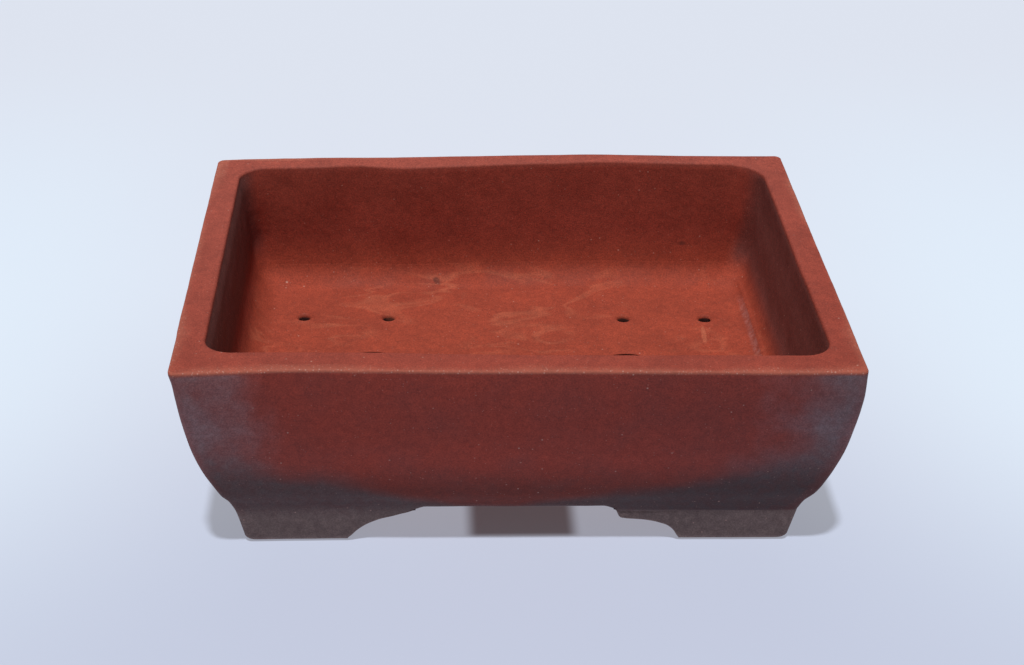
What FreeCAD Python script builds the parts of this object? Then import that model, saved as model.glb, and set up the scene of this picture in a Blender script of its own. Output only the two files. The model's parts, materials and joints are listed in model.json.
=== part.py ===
import FreeCAD, Part
import math
import os
import Sketcher

# A hand-built bonsai pot of unglazed red clay, put together from leather-hard slabs:
# a floor slab, four curved walls mitred at 45 degrees round it, four mitred rim strips
# on top, soft coils worked into every inside seam, and four L-shaped corner feet with
# a cloud profile.  Millimetres, +X along the length, +Y to the back, +Z up, with the
# origin on the ground under the middle of the pot.

DIMENSIONS = (
    ("pot_length", 250.0, "over the rim, along X"),
    ("pot_width", 196.0, "over the rim, along Y"),
    ("pot_height", 88.0, "ground to the top of the rim"),
    ("wall_radius", 160.0, "radius of the walls' outer face, seen from the end"),
    ("arc_level", 90.0, "height of that arc's centre"),
    ("wall_thickness", 9.0, "thickness of the wall slabs"),
    ("skirt_level", 16.5, "height of the walls' lower edge"),
    ("rim_height", 8.0, "depth of the rim strips"),
    ("rim_front", 13.0, "width of the front rim strip"),
    ("rim_side", 11.0, "width of the two side rim strips"),
    ("rim_back", 10.0, "width of the back rim strip"),
    ("opening_corner", 12.0, "corner radius of the rim's opening"),
    ("rim_rounding", 1.0, "rounding of the rim's outer top edge"),
    ("floor_top", 34.0, "height of the floor inside the pot"),
    ("floor_thickness", 12.0, "thickness of the floor slab"),
    ("seam_rise", 10.0, "height of a floor seam coil up the wall"),
    ("seam_run", 8.0, "width of a floor seam coil on the floor"),
    ("seam_radius", 14.0, "hollow face of a floor seam coil"),
    ("corner_leg", 7.0, "reach of a corner coil along each wall"),
    ("drain_radius", 12.5, "drain holes"),
    ("drain_offset", 53.0, "middle of the pot to each drain hole"),
    ("tie_radius", 2.5, "holes for the wires that tie the tree down"),
    ("tie_inner", 51.0, "middle of the pot to the inner wire holes"),
    ("tie_outer", 87.0, "middle of the pot to the outer wire holes"),
    ("tie_row", 42.0, "middle of the pot to each row of wire holes"),
    ("foot_top_inset", 17.5, "outline of the pot to a foot's upper outer edge"),
    ("foot_base_inset", 21.0, "outline of the pot to a foot's lower outer edge"),
    ("foot_rounding", 3.0, "rounding of a foot's lower outer edge"),
    ("foot_thickness", 13.0, "thickness of a foot's two legs"),
    ("foot_run_long", 39.0, "flat of a foot along the long side"),
    ("foot_run_short", 30.0, "flat of a foot along the short side"),
    ("cloud_run_long", 29.0, "length of the cloud curve on the long side"),
    ("cloud_run_short", 24.0, "length of the cloud curve on the short side"),
)

LONG_HALF = "dims.pot_length / 2"
SHORT_HALF = "dims.pot_width / 2"
RIM_BASE = "dims.pot_height - dims.rim_height"

doc = FreeCAD.newDocument("bonsai_pot")


def make_sheet():
    """The driving dimensions, one row each: name, number, meaning."""
    sheet = doc.addObject("Spreadsheet::Sheet", "dims")
    for row, (alias, value, meaning) in enumerate(DIMENSIONS, start=1):
        sheet.set(f"A{row}", alias)
        sheet.set(f"B{row}", str(value))
        sheet.setAlias(f"B{row}", alias)
        sheet.set(f"C{row}", meaning)
    doc.recompute()
    return sheet


sheet = make_sheet()


def number(expression):
    """The value an expression on the sheet has now."""
    value = sheet.evalExpression(expression)
    return float(getattr(value, "Value", value))


def inset(level, depth="0"):
    """How far the arc of a wall, or one depth behind it, lies inside the pot's outline."""
    radius = f"(dims.wall_radius - ({depth}))"
    drop = f"(dims.arc_level - ({level}))"
    return f"(dims.wall_radius - sqrt({radius} * {radius} - {drop} * {drop}))"


def inner(level):
    """The same for the inside face of a wall."""
    return inset(level, "dims.wall_thickness")


# ---------------------------------------------------------------- sketches

def new_sketch(body, name, role, height=None):
    """A sketch on one of the body's own origin planes, raised if a height is given."""
    sketch = body.newObject("Sketcher::SketchObject", name)
    plane = next(f for f in body.Origin.OriginFeatures if f.Role == role)
    sketch.AttachmentSupport = (plane, [""])
    sketch.MapMode = "FlatFace"
    if height:
        sketch.setExpression("AttachmentOffset.Base.z", height)
    return sketch


def bind(sketch, constraint, expression):
    sketch.setExpression(f"Constraints[{sketch.addConstraint(constraint)}]", expression)


def arc_between(start, end, radius, bulge):
    """The short arc from start to end whose middle lies on the bulge side (+1 left, -1 right)."""
    chord = end - start
    across = FreeCAD.Vector(-chord.y, chord.x, 0).normalize() * bulge
    half = chord.Length / 2
    sagitta = radius - math.sqrt(max(radius ** 2 - half ** 2, 0))
    middle = (start + end) / 2 + across * sagitta
    return Part.ArcOfCircle(start, middle, end)


def outline(sketch, corners, arcs=None):
    """A closed outline through corners given as pairs of expressions.

    arcs maps the number of a side to its radius expression and its bulge side.
    """
    arcs = arcs or {}
    points = [FreeCAD.Vector(number(x), number(y), 0) for x, y in corners]
    count = len(points)
    ends = []
    for side in range(count):
        start, end = points[side], points[(side + 1) % count]
        if side in arcs:
            radius, bulge = arcs[side]
            made = sketch.addGeometry(arc_between(start, end, number(radius), bulge), False)
            bind(sketch, Sketcher.Constraint("Radius", made, number(radius)), radius)
        else:
            made = sketch.addGeometry(Part.LineSegment(start, end), False)
        near_first = sketch.getPoint(made, 1).distanceToPoint(start) < 1e-4
        first, last = (1, 2) if near_first else (2, 1)
        ends.append((made, first, last))
    for side, (made, first, last) in enumerate(ends):
        following, start_of_next, _ = ends[(side + 1) % count]
        sketch.addConstraint(Sketcher.Constraint("Coincident", made, last, following, start_of_next))
        x, y = corners[side]
        point = points[side]
        bind(sketch, Sketcher.Constraint("DistanceX", -1, 1, made, first, point.x), x)
        bind(sketch, Sketcher.Constraint("DistanceY", -1, 1, made, first, point.y), y)


def circle(sketch, x, y, radius):
    centre = FreeCAD.Vector(number(x), number(y), 0)
    made = sketch.addGeometry(Part.Circle(centre, FreeCAD.Vector(0, 0, 1), number(radius)), False)
    bind(sketch, Sketcher.Constraint("Radius", made, number(radius)), radius)
    bind(sketch, Sketcher.Constraint("DistanceX", -1, 1, made, 3, centre.x), x)
    bind(sketch, Sketcher.Constraint("DistanceY", -1, 1, made, 3, centre.y), y)


# ---------------------------------------------------------------- features

def pad(body, sketch, name, length, symmetric=True):
    feature = body.newObject("PartDesign::Pad", name)
    feature.Profile = sketch
    feature.SideType = "Symmetric" if symmetric else "One side"
    feature.setExpression("Length", length)
    doc.recompute()
    return feature


def cut_through(body, sketch, name):
    """A pocket through everything on both sides of its sketch, which has to remove clay."""
    before = body.Shape.Volume
    feature = body.newObject("PartDesign::Pocket", name)
    feature.Profile = sketch
    feature.SideType = "Symmetric"
    feature.Type = "ThroughAll"
    doc.recompute()
    if body.Shape.Volume > before - 0.01:
        raise RuntimeError(f"{body.Label}: {name} removed nothing")
    return feature


def new_body(label):
    body = doc.addObject("PartDesign::Body", label)
    body.Label = label
    return body


# Each side of the pot: the plane its cross-section lies on, the half-size it stands at,
# the half-size it runs along, and on which side of the middle it is.
SIDES = {
    "front": ("YZ_Plane", SHORT_HALF, LONG_HALF, -1),
    "back": ("YZ_Plane", SHORT_HALF, LONG_HALF, 1),
    "left": ("XZ_Plane", LONG_HALF, SHORT_HALF, -1),
    "right": ("XZ_Plane", LONG_HALF, SHORT_HALF, 1),
}
MITRE_REACH = "60"


def mitre_ends(body, side):
    """Cut both ends at 45 degrees, on the lines that run in from the pot's outer corners."""
    plane, across, along, sign = SIDES[side]
    sketch = new_sketch(body, f"{body.Label}_mitre_lines", "XY_Plane")
    for end in (-1, 1):
        tip = (f"{end} * ({along})", f"{sign} * ({across})")
        deep = f"{sign} * ({across} - {MITRE_REACH})"
        inboard = (f"{end} * ({along} - {MITRE_REACH})", deep)
        outboard = (f"{end} * ({along})", deep)
        corners = [tip, inboard, outboard]
        if plane == "XZ_Plane":
            corners = [(y, x) for x, y in corners]
        outline(sketch, corners)
    cut_through(body, sketch, f"{body.Label}_mitres")


def mitred_strip(label, side, section, arcs):
    """A strip with one cross-section along a side of the pot, mitred at both ends.

    section holds pairs of expressions: inset from the pot's outline, and height.
    """
    plane, across, along, sign = SIDES[side]
    body = new_body(label)
    sketch = new_sketch(body, f"{label}_section", plane)
    corners = [(f"{sign} * ({across} - ({depth}))", level) for depth, level in section]
    turned = {edge: (radius, bulge * -sign) for edge, (radius, bulge) in arcs.items()}
    outline(sketch, corners, turned)
    pad(body, sketch, f"{label}_slab", f"2 * ({along})")
    mitre_ends(body, side)
    return body


# ---------------------------------------------------------------- the pieces

def wall(side):
    """A bent slab of even thickness, from the skirt's edge up to the rim strips."""
    skirt = "dims.skirt_level"
    section = [
        (inset(RIM_BASE), RIM_BASE),
        (inset(skirt), skirt),
        (inner(skirt), skirt),
        (inner(RIM_BASE), RIM_BASE),
    ]
    arcs = {
        0: ("dims.wall_radius", -1),
        2: ("dims.wall_radius - dims.wall_thickness", 1),
    }
    return mitred_strip(f"{side}_wall", side, section, arcs)


def seam_section():
    """A floor seam coil: down the wall's inside face, along the floor, hollow face back up."""
    top = "dims.floor_top + dims.seam_rise"
    return [
        (inner(top), top),
        (inner("dims.floor_top"), "dims.floor_top"),
        (f"{inner('dims.floor_top')} + dims.seam_run", "dims.floor_top"),
    ]


SEAM_ARCS = {
    0: ("dims.wall_radius - dims.wall_thickness", -1),
    2: ("dims.seam_radius", 1),
}


def seat_section():
    """The floor seam coil's hollow face, closed well behind the wall's inside face and
    below the floor, so that cutting with it leaves no thin slivers."""
    behind = inner(RIM_BASE)
    below = "dims.floor_top - 1"
    first, _, toe = seam_section()
    return [first, (behind, first[1]), (behind, below), (toe[0], below), toe]


def seam_coil(side):
    return mitred_strip(f"{side}_floor_seam_coil", side, seam_section(), SEAM_ARCS)


def floor_slab():
    """The slab between the walls, with its drain holes and wire holes."""
    body = new_body("floor_slab")
    low = "dims.floor_top - dims.floor_thickness"
    high = "dims.floor_top"
    radius = "dims.wall_radius - dims.wall_thickness"
    ends = new_sketch(body, "floor_section_along_length", "XZ_Plane")
    corners = [
        (f"-({LONG_HALF} - {inner(high)})", high),
        (f"-({LONG_HALF} - {inner(low)})", low),
        (f"{LONG_HALF} - {inner(low)}", low),
        (f"{LONG_HALF} - {inner(high)}", high),
    ]
    outline(ends, corners, {0: (radius, -1), 2: (radius, -1)})
    pad(body, ends, "floor_clay", "dims.pot_width")
    waste = new_sketch(body, "floor_section_across_width", "YZ_Plane")
    for sign in (-1, 1):
        corners = [
            (f"{sign} * ({SHORT_HALF} - {inner(high)})", high),
            (f"{sign} * ({SHORT_HALF} - {inner(low)})", low),
            (f"{sign} * ({SHORT_HALF} + 1)", low),
            (f"{sign} * ({SHORT_HALF} + 1)", high),
        ]
        outline(waste, corners, {0: (radius, sign)})
    cut_through(body, waste, "floor_long_edges")
    holes = new_sketch(body, "floor_hole_centres", "XY_Plane")
    for side in (-1, 1):
        circle(holes, f"{side} * dims.drain_offset", "0", "dims.drain_radius")
        for row in (-1, 1):
            for place in ("dims.tie_inner", "dims.tie_outer"):
                circle(holes, f"{side} * {place}", f"{row} * dims.tie_row", "dims.tie_radius")
    cut_through(body, holes, "floor_holes")
    return body


def opening_edge(side):
    """Distance from the pot's middle to the rim opening's edge on one side."""
    across = SIDES[side][1]
    width = {"front": "dims.rim_front", "back": "dims.rim_back"}.get(side, "dims.rim_side")
    return f"({across} - {width})"


def rim_corner(x_sign, y_sign):
    """The middle of the opening's corner arc, as offsets from the two straight edges."""
    share = "dims.opening_corner * (1 - sqrt(0.5))"
    x_edge = opening_edge("left" if x_sign < 0 else "right")
    y_edge = opening_edge("front" if y_sign < 0 else "back")
    return f"{x_sign} * ({x_edge} - {share})", f"{y_sign} * ({y_edge} - {share})"


def rim_strip(side):
    """A flat strip with its mitres running from the outer corners into the opening's corners."""
    plane, across, along, sign = SIDES[side]
    body = new_body(f"{side}_rim")
    sketch = new_sketch(body, f"{side}_rim_plan", "XY_Plane", RIM_BASE)
    edge = f"{sign} * {opening_edge(side)}"
    corners = []
    for end in (-1, 1):
        if plane == "YZ_Plane":
            mitre_foot = rim_corner(end, sign)
            arc_end = (f"{end} * ({opening_edge('left')} - dims.opening_corner)", edge)
            tip = (f"{end} * ({along})", f"{sign} * ({across})")
        else:
            neighbour = "front" if end < 0 else "back"
            mitre_foot = rim_corner(sign, end)
            arc_end = (edge, f"{end} * ({opening_edge(neighbour)} - dims.opening_corner)")
            tip = (f"{sign} * ({across})", f"{end} * ({along})")
        corners.append((tip, mitre_foot, arc_end))
    (tip, foot, arc_end), (far_tip, far_foot, far_arc_end) = corners
    # the corner arcs bulge away from the pot's middle
    bulge = sign if plane == "YZ_Plane" else -sign
    outline(
        sketch,
        [tip, foot, arc_end, far_arc_end, far_foot, far_tip],
        {1: ("dims.opening_corner", bulge), 3: ("dims.opening_corner", bulge)},
    )
    strip = pad(body, sketch, f"{side}_rim_clay", "dims.rim_height", symmetric=False)
    outer = [
        f"Edge{index}"
        for index, edge in enumerate(strip.Shape.Edges, start=1)
        if is_outer_top_edge(edge, plane, number(across))
    ]
    rounding = body.newObject("PartDesign::Fillet", f"{side}_rim_rounding")
    rounding.Base = (strip, outer)
    rounding.setExpression("Radius", "dims.rim_rounding")
    body.Tip = rounding
    doc.recompute()
    return body


def is_outer_top_edge(edge, plane, across):
    centre = edge.CenterOfMass
    out = abs(centre.y) if plane == "YZ_Plane" else abs(centre.x)
    return abs(centre.z - number("dims.pot_height")) < 0.01 and abs(out - across) < 0.01


def corner_coil(label, x_sign, y_sign):
    """A coil of triangular section up the inside corner of two walls.

    It follows both walls' inside faces and stands on the floor seam coils.
    """
    low = "dims.floor_top"
    radius = "dims.wall_radius - dims.wall_thickness"
    body = new_body(label)
    band = new_sketch(body, f"{label}_against_side_wall", "XZ_Plane")
    corners = [
        (f"{x_sign} * ({LONG_HALF} - {inner(RIM_BASE)})", RIM_BASE),
        (f"{x_sign} * ({LONG_HALF} - {inner(low)})", low),
        (f"{x_sign} * ({LONG_HALF} - {inner(low)} - dims.corner_leg)", low),
        (f"{x_sign} * ({LONG_HALF} - {inner(RIM_BASE)} - dims.corner_leg)", RIM_BASE),
    ]
    outline(band, corners, {0: (radius, x_sign), 2: (radius, -x_sign)})
    pad(body, band, f"{label}_clay", "dims.pot_width")
    waste = new_sketch(body, f"{label}_against_long_wall", "YZ_Plane")
    inside = [
        (f"{y_sign} * ({SHORT_HALF} - {inner(RIM_BASE)} - dims.corner_leg)", RIM_BASE),
        (f"{y_sign} * ({SHORT_HALF} - {inner(low)} - dims.corner_leg)", low),
        (f"-{y_sign} * ({SHORT_HALF} + 1)", low),
        (f"-{y_sign} * ({SHORT_HALF} + 1)", RIM_BASE),
    ]
    outside = [
        (f"{y_sign} * ({SHORT_HALF} - {inner(RIM_BASE)})", RIM_BASE),
        (f"{y_sign} * ({SHORT_HALF} - {inner(low)})", low),
        (f"{y_sign} * ({SHORT_HALF} + 1)", low),
        (f"{y_sign} * ({SHORT_HALF} + 1)", RIM_BASE),
    ]
    outline(waste, inside, {0: (radius, y_sign)})
    outline(waste, outside, {0: (radius, y_sign)})
    cut_through(body, waste, f"{label}_long_wall_fit")
    hollow = diagonal_sketch(body, f"{label}_free_face", x_sign, y_sign)
    levels = [f"{low} + {share} * ({RIM_BASE} - {low})" for share in (0, 0.33, 0.67, 1)]
    corner = f"({LONG_HALF} + {SHORT_HALF} - dims.corner_leg)"
    face = [(f"({corner} - 2 * {inner(level)}) * sqrt(0.5)", level) for level in levels]
    outline(hollow, [("0", low), *face, ("0", RIM_BASE)])
    cut_through(body, hollow, f"{label}_free_face_cut")
    for plane, half, sign in (("YZ_Plane", SHORT_HALF, y_sign), ("XZ_Plane", LONG_HALF, x_sign)):
        seat = new_sketch(body, f"{label}_seat_{plane[:2]}", plane)
        corners = [(f"{sign} * ({half} - ({depth}))", level) for depth, level in seat_section()]
        outline(seat, corners, {4: ("dims.seam_radius", -sign)})
        cut_through(body, seat, f"{label}_seat_cut_{plane[:2]}")
    return body


def diagonal_sketch(body, name, x_sign, y_sign):
    """A sketch on the upright plane through the middle that points at one corner's diagonal."""
    sketch = new_sketch(body, name, "XZ_Plane")
    heading = math.degrees(math.atan2(y_sign, x_sign))
    turn = FreeCAD.Rotation(FreeCAD.Vector(0, 1, 0), heading)
    sketch.AttachmentOffset = FreeCAD.Placement(FreeCAD.Vector(), turn)
    return sketch


# The cloud curve, from a foot's inboard bottom corner up to the skirt: share of its run,
# and share of the skirt's height.
CLOUD = (
    (0.00, 0.00),
    (0.07, 0.24),
    (0.17, 0.40),
    (0.32, 0.53),
    (0.62, 0.61),
    (0.80, 0.72),
    (0.86, 0.86),
    (1.00, 1.00),
)


def leg_profile(half, sign, flat, cloud_run):
    """A leg seen from outside: slanting end, rounded lower edge, flat, cloud curve, top."""
    top = "dims.skirt_level"
    slope = "(dims.foot_base_inset - dims.foot_top_inset) / dims.skirt_level"
    eased = f"dims.foot_base_inset - {slope} * dims.foot_rounding"
    corners = [
        (f"{sign} * ({half} - dims.foot_top_inset)", top),
        (f"{sign} * ({half} - ({eased}))", "dims.foot_rounding"),
        (f"{sign} * ({half} - dims.foot_base_inset - dims.foot_rounding)", "0"),
    ]
    for run, rise in CLOUD:
        reach = f"dims.foot_base_inset + {flat} + {run} * {cloud_run}"
        corners.append((f"{sign} * ({half} - ({reach}))", f"{rise} * dims.skirt_level"))
    return corners


def foot(label, x_sign, y_sign):
    """An L-shaped foot: the solid shared by its two outside profiles, hollowed behind."""
    body = new_body(label)
    long_side = new_sketch(body, f"{label}_long_profile", "XZ_Plane")
    outline(long_side, leg_profile(LONG_HALF, x_sign, "dims.foot_run_long", "dims.cloud_run_long"))
    pad(body, long_side, f"{label}_clay", "dims.pot_width")
    short_side = new_sketch(body, f"{label}_short_profile", "YZ_Plane")
    profile = leg_profile(SHORT_HALF, y_sign, "dims.foot_run_short", "dims.cloud_run_short")
    over = "dims.skirt_level"
    outer_waste = [*profile[:3], (f"{y_sign} * ({SHORT_HALF} + 1)", "0"),
                   (f"{y_sign} * ({SHORT_HALF} + 1)", over)]
    inner_waste = [*profile[3:], (f"-{y_sign} * ({SHORT_HALF} + 1)", over),
                   (f"-{y_sign} * ({SHORT_HALF} + 1)", "0")]
    outline(short_side, outer_waste)
    outline(short_side, inner_waste)
    cut_through(body, short_side, f"{label}_short_cut")
    hollow = new_sketch(body, f"{label}_inside", "XY_Plane")
    back = "(dims.foot_top_inset + dims.foot_thickness)"
    x_face = f"{x_sign} * ({LONG_HALF} - {back})"
    y_face = f"{y_sign} * ({SHORT_HALF} - {back})"
    outline(hollow, [("0", "0"), (x_face, "0"), (x_face, y_face), ("0", y_face)])
    cut_through(body, hollow, f"{label}_hollow")
    return body


CORNERS = {
    "front_left": (-1, -1),
    "front_right": (1, -1),
    "back_left": (-1, 1),
    "back_right": (1, 1),
}


def build():
    bodies = [floor_slab()]
    for side in SIDES:
        bodies += [wall(side), rim_strip(side), seam_coil(side)]
    for place, (x_sign, y_sign) in CORNERS.items():
        bodies.append(corner_coil(f"{place}_corner_coil", x_sign, y_sign))
        bodies.append(foot(f"{place}_foot", x_sign, y_sign))
    return bodies


def check(bodies):
    """Stop before anything is written if a feature failed or a solid is unsound."""
    for thing in doc.Objects:
        if {"Invalid", "Error"} & set(thing.State):
            raise RuntimeError(f"{thing.Label}: {thing.State}")
    for body in bodies:
        shape = body.Shape
        if shape.isNull() or not shape.isValid() or len(shape.Solids) != 1:
            raise RuntimeError(f"{body.Label}: {len(shape.Solids)} solids, valid {shape.isValid()}")


def write(bodies):
    os.makedirs("parts", exist_ok=True)
    for body in bodies:
        body.Shape.exportStep(f"parts/{body.Label}.step")
        print(f"{body.Label}: {body.Shape.Volume / 1000:.1f} cm3")


bodies = build()
doc.recompute()
check(bodies)
write(bodies)
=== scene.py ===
"""Looks of a slab-built bonsai pot of unglazed red clay.

Every piece stands for one CAD node. The pieces share one set of ring and wander functions, so the
slabs, coils, rim strips and feet meet without gaps. Lengths are millimetres in the mesh code and
metres in the camera, materials and lamps. Tuples with one value per side go in the order of SIDES,
and those with one value per corner in the order of CORNERS.
"""

import json
import math

import bpy
import numpy as np
from mathutils import Matrix, Vector
from mathutils.geometry import delaunay_2d_cdt

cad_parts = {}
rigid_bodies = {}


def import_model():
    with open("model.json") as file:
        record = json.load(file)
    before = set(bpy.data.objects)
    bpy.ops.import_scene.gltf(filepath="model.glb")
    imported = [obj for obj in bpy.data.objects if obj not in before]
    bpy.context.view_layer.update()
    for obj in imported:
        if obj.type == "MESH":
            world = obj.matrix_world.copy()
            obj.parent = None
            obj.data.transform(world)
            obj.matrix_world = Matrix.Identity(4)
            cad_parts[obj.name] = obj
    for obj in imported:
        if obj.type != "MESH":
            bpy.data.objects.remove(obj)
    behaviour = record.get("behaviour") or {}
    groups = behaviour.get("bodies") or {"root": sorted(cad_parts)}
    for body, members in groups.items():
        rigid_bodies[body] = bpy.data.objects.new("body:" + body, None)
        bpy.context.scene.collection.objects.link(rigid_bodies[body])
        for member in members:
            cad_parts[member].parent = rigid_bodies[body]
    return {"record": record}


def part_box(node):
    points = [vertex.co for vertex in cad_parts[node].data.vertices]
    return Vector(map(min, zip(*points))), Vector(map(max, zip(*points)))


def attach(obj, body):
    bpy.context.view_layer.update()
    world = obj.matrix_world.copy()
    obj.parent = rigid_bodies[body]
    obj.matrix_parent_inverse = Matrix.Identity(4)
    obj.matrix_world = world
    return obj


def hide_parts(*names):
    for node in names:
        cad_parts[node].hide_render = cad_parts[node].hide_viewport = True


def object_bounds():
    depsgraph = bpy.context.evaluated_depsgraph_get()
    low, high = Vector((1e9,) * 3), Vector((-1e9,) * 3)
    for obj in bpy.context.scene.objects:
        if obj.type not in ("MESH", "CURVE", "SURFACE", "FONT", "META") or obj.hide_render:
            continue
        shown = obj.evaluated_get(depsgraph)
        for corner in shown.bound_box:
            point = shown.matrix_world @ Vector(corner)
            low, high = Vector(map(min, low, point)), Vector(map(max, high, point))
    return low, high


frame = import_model()
cad_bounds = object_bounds()


def new_object(name, data):
    """A new object in the scene."""
    made = bpy.data.objects.new(name, data)
    bpy.context.collection.objects.link(made)
    return made


# ------------ camera

CAMERA_PLACE = (-0.03328, -0.6678, 0.4175)
CAMERA_PITCH = 0.5021
CAMERA_YAW = 0.0520
CAMERA_ROLL = -0.0219
CAMERA_LENS = 65.47
SENSOR_WIDTH = 36.0
VIEW_DISTANCE = 50.0


def add_camera():
    """The camera looks down at the front of the pot, turned a little to the right."""
    data = bpy.data.cameras.new("camera")
    data.lens = CAMERA_LENS
    data.sensor_width = SENSOR_WIDTH
    data.clip_end = VIEW_DISTANCE
    camera = new_object("camera", data)
    forward = Vector((
        math.sin(CAMERA_YAW) * math.cos(CAMERA_PITCH),
        math.cos(CAMERA_YAW) * math.cos(CAMERA_PITCH),
        -math.sin(CAMERA_PITCH),
    ))
    level = Vector((math.cos(CAMERA_YAW), -math.sin(CAMERA_YAW), 0.0))
    upright = level.cross(forward)
    right = level * math.cos(CAMERA_ROLL) - upright * math.sin(CAMERA_ROLL)
    up = level * math.sin(CAMERA_ROLL) + upright * math.cos(CAMERA_ROLL)
    turn = Matrix((right, up, -forward)).transposed().to_4x4()
    camera.matrix_world = Matrix.Translation(CAMERA_PLACE) @ turn
    bpy.context.scene.camera = camera


add_camera()

# ------------ sizes from the CAD model

MM = 1000.0
SIDES = ("front", "right", "back", "left")
CORNERS = ("front_right", "back_right", "back_left", "front_left")
ALONG = np.array(((1, 0), (0, 1), (-1, 0), (0, -1)), float)
OUTWARD = np.array(((0, -1), (1, 0), (0, 1), (-1, 0)), float)

low_corner = np.array(cad_bounds[0]) * MM
high_corner = np.array(cad_bounds[1]) * MM
HALF_LENGTH = high_corner[0]
HALF_WIDTH = high_corner[1]
POT_HEIGHT = high_corner[2]
HALVES = (HALF_WIDTH, HALF_LENGTH, HALF_WIDTH, HALF_LENGTH)
RIM_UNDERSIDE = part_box("front_rim")[0][2] * MM
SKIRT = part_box("front_left_foot")[1][2] * MM
FLOOR_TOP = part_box("floor_slab")[1][2] * MM
FLOOR_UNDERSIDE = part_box("floor_slab")[0][2] * MM

# The walls: arcs about ARC_LEVEL, curled a little above the feet, straighter inside near the rim.
WALL_RADIUS = 160.0
WALL_INNER_RADIUS = 151.0
ARC_LEVEL = 90.0
CURL = 0.65
CURL_BAND = (27.0, 21.0)
STRAIGHT_LEVEL = 50.0
STRAIGHT_SOFTNESS = 1.0

# The rim stays a little below the CAD's top, so that its crown and lift fit under it.
RIM_HEADROOM = 0.6
RIM_TOP = POT_HEIGHT - RIM_HEADROOM
RIM_WIDTHS = (13.0, 10.6, 10.0, 11.0)
FRONT_WALL_TOP = 10.0
WALL_TOPS = (FRONT_WALL_TOP,) + RIM_WIDTHS[1:]

# Corner radii: outside, of the opening at rim height, of the coils, and of edges that never show.
OUTER_CORNER_RADIUS = 2.6
OPENING_RADII = (11.0, 15.0, 12.0, 10.5)
COIL_RADIUS = 8.5
HIDDEN_RADIUS = 0.6

# The feet's outer faces start at a crease and draw in less than the wall does.
CREASE_LEVELS = (14.8, 19.8, 14.8, 19.8)
FOOT_SLOPES = (0.115, 0.22, 0.115, 0.22)
SOFTNESS_LEFT = 1.5
SOFTNESS_RIGHT = 0.45
SOFTNESS_CHANGE = 0.3
FOOT_INNER_DEPTH = 30.5

# The cove between walls and floor, and how far coils reach into their neighbours.
COVE_RISE = 8.5
COVE_RUN = 7.0
TUCK = 0.3

# Distances between the mesh's stations along a side, and their number over half a corner.
WALL_SPACING = 1.3
RIM_SPACING = 1.2
ARC_STEPS = 12
SHARP_ANGLE = math.radians(42.0)
QUARTER = math.pi / 2.0

rng = np.random.default_rng(7)


def smoothstep(low, high, value):
    """0 below low, 1 above high, smooth between; low may be the larger one."""
    u = np.clip((value - low) / (high - low), 0.0, 1.0)
    return u * u * (3.0 - 2.0 * u)


def through(points, x):
    """A smooth curve through the points, read at x. Beyond the ends it stays level."""
    px, py = np.array(points, float).T
    slope = np.gradient(py, px)
    steps = np.diff(py) / np.diff(px)
    for i in range(1, len(px) - 1):
        if steps[i - 1] * steps[i] <= 0.0:
            slope[i] = 0.0
    x = np.clip(x, px[0], px[-1])
    i = np.clip(np.searchsorted(px, x) - 1, 0, len(px) - 2)
    width = px[i + 1] - px[i]
    u = (x - px[i]) / width
    u2 = u * u
    u3 = u2 * u
    return (
        py[i] * (2 * u3 - 3 * u2 + 1)
        + slope[i] * width * (u3 - 2 * u2 + u)
        + py[i + 1] * (3 * u2 - 2 * u3)
        + slope[i + 1] * width * (u3 - u2)
    )


# ------------ how the hand-made pot wanders

# Curves of (place along the side, shift) for the long sides and (height, shift) for the ends.
FRONT_OUTER = ((-125, 1.1), (-100, 2.9), (-76, 3.7), (-50, 3.1), (-30, 2.4), (20, 1.9),
               (70, 1.1), (95, 0.6), (125, 0.6))
FRONT_INNER = ((-125, 4.5), (-75, 4.4), (-50, 3.8), (-25, 2.6), (5, 1.8), (60, 1.0), (125, 0.5))
BACK_OUTER = ((-125, -6.3), (-111, -4.9), (-98, -4.1), (-80, -3.5), (-45, -3.0), (-20, -2.0),
              (5, -1.5), (40, -1.0), (68, -1.7), (95, -2.0), (125, -1.9))
BACK_INNER = ((-125, -4.9), (-97, -4.5), (-76, -3.4), (-65, -2.2), (-43, -4.8), (-21, -3.1),
              (0, -1.5), (24, -0.3), (46, 0.6), (68, -0.2), (91, -1.1), (125, -1.4))
BACK_LIFT = ((-125, -0.1), (-40, 0.0), (0, 0.3), (45, 0.6), (90, 0.4), (125, 0.2))
LEFT_SHIFT = ((16, 0.8), (28, 0.85), (42, 0.6), (52, 0.8), (65, 1.2), (76, 1.15), (82, 0.8),
              (85.5, 0.1))
RIGHT_SHIFT = ((16, 2.2), (28, 2.3), (42, 1.7), (52, 1.2), (65, 0.65), (76, 0.45), (84, 0.0))
SHIFT_BAND = (62.0, 98.0)
LOW_WANDER = 0.45
WANDER_LEVELS = (15.0, 80.0)
WANDER_DEPTHS = (46.0, 12.0)
LIFT_DEPTHS = (40.0, 2.0)
LIFT_LEVELS = (55.0, 84.0)
GROUNDED_LEVELS = (0.0, 14.0)


def smooth_minimum(a, b, softness):
    """The smaller of a and b, with the kink between them rounded off."""
    h = np.clip(0.5 + 0.5 * (b - a) / softness, 0.0, 1.0)
    return b * (1.0 - h) + a * h - softness * h * (1.0 - h)


def wave_band(count, wavelength, strength):
    """Sine waves in random directions that together move points about this strength."""
    directions = rng.normal(size=(count, 3))
    directions /= np.linalg.norm(directions, axis=1)[:, None]
    pushes = rng.normal(size=(count, 3))
    pushes /= np.linalg.norm(pushes, axis=1)[:, None]
    lengths = wavelength * rng.uniform(0.75, 1.35, count)
    phases = rng.uniform(0.0, 2.0 * math.pi, count)
    waves = directions * (2.0 * math.pi / lengths)[:, None]
    return waves, phases, pushes * strength / math.sqrt(count)


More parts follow.
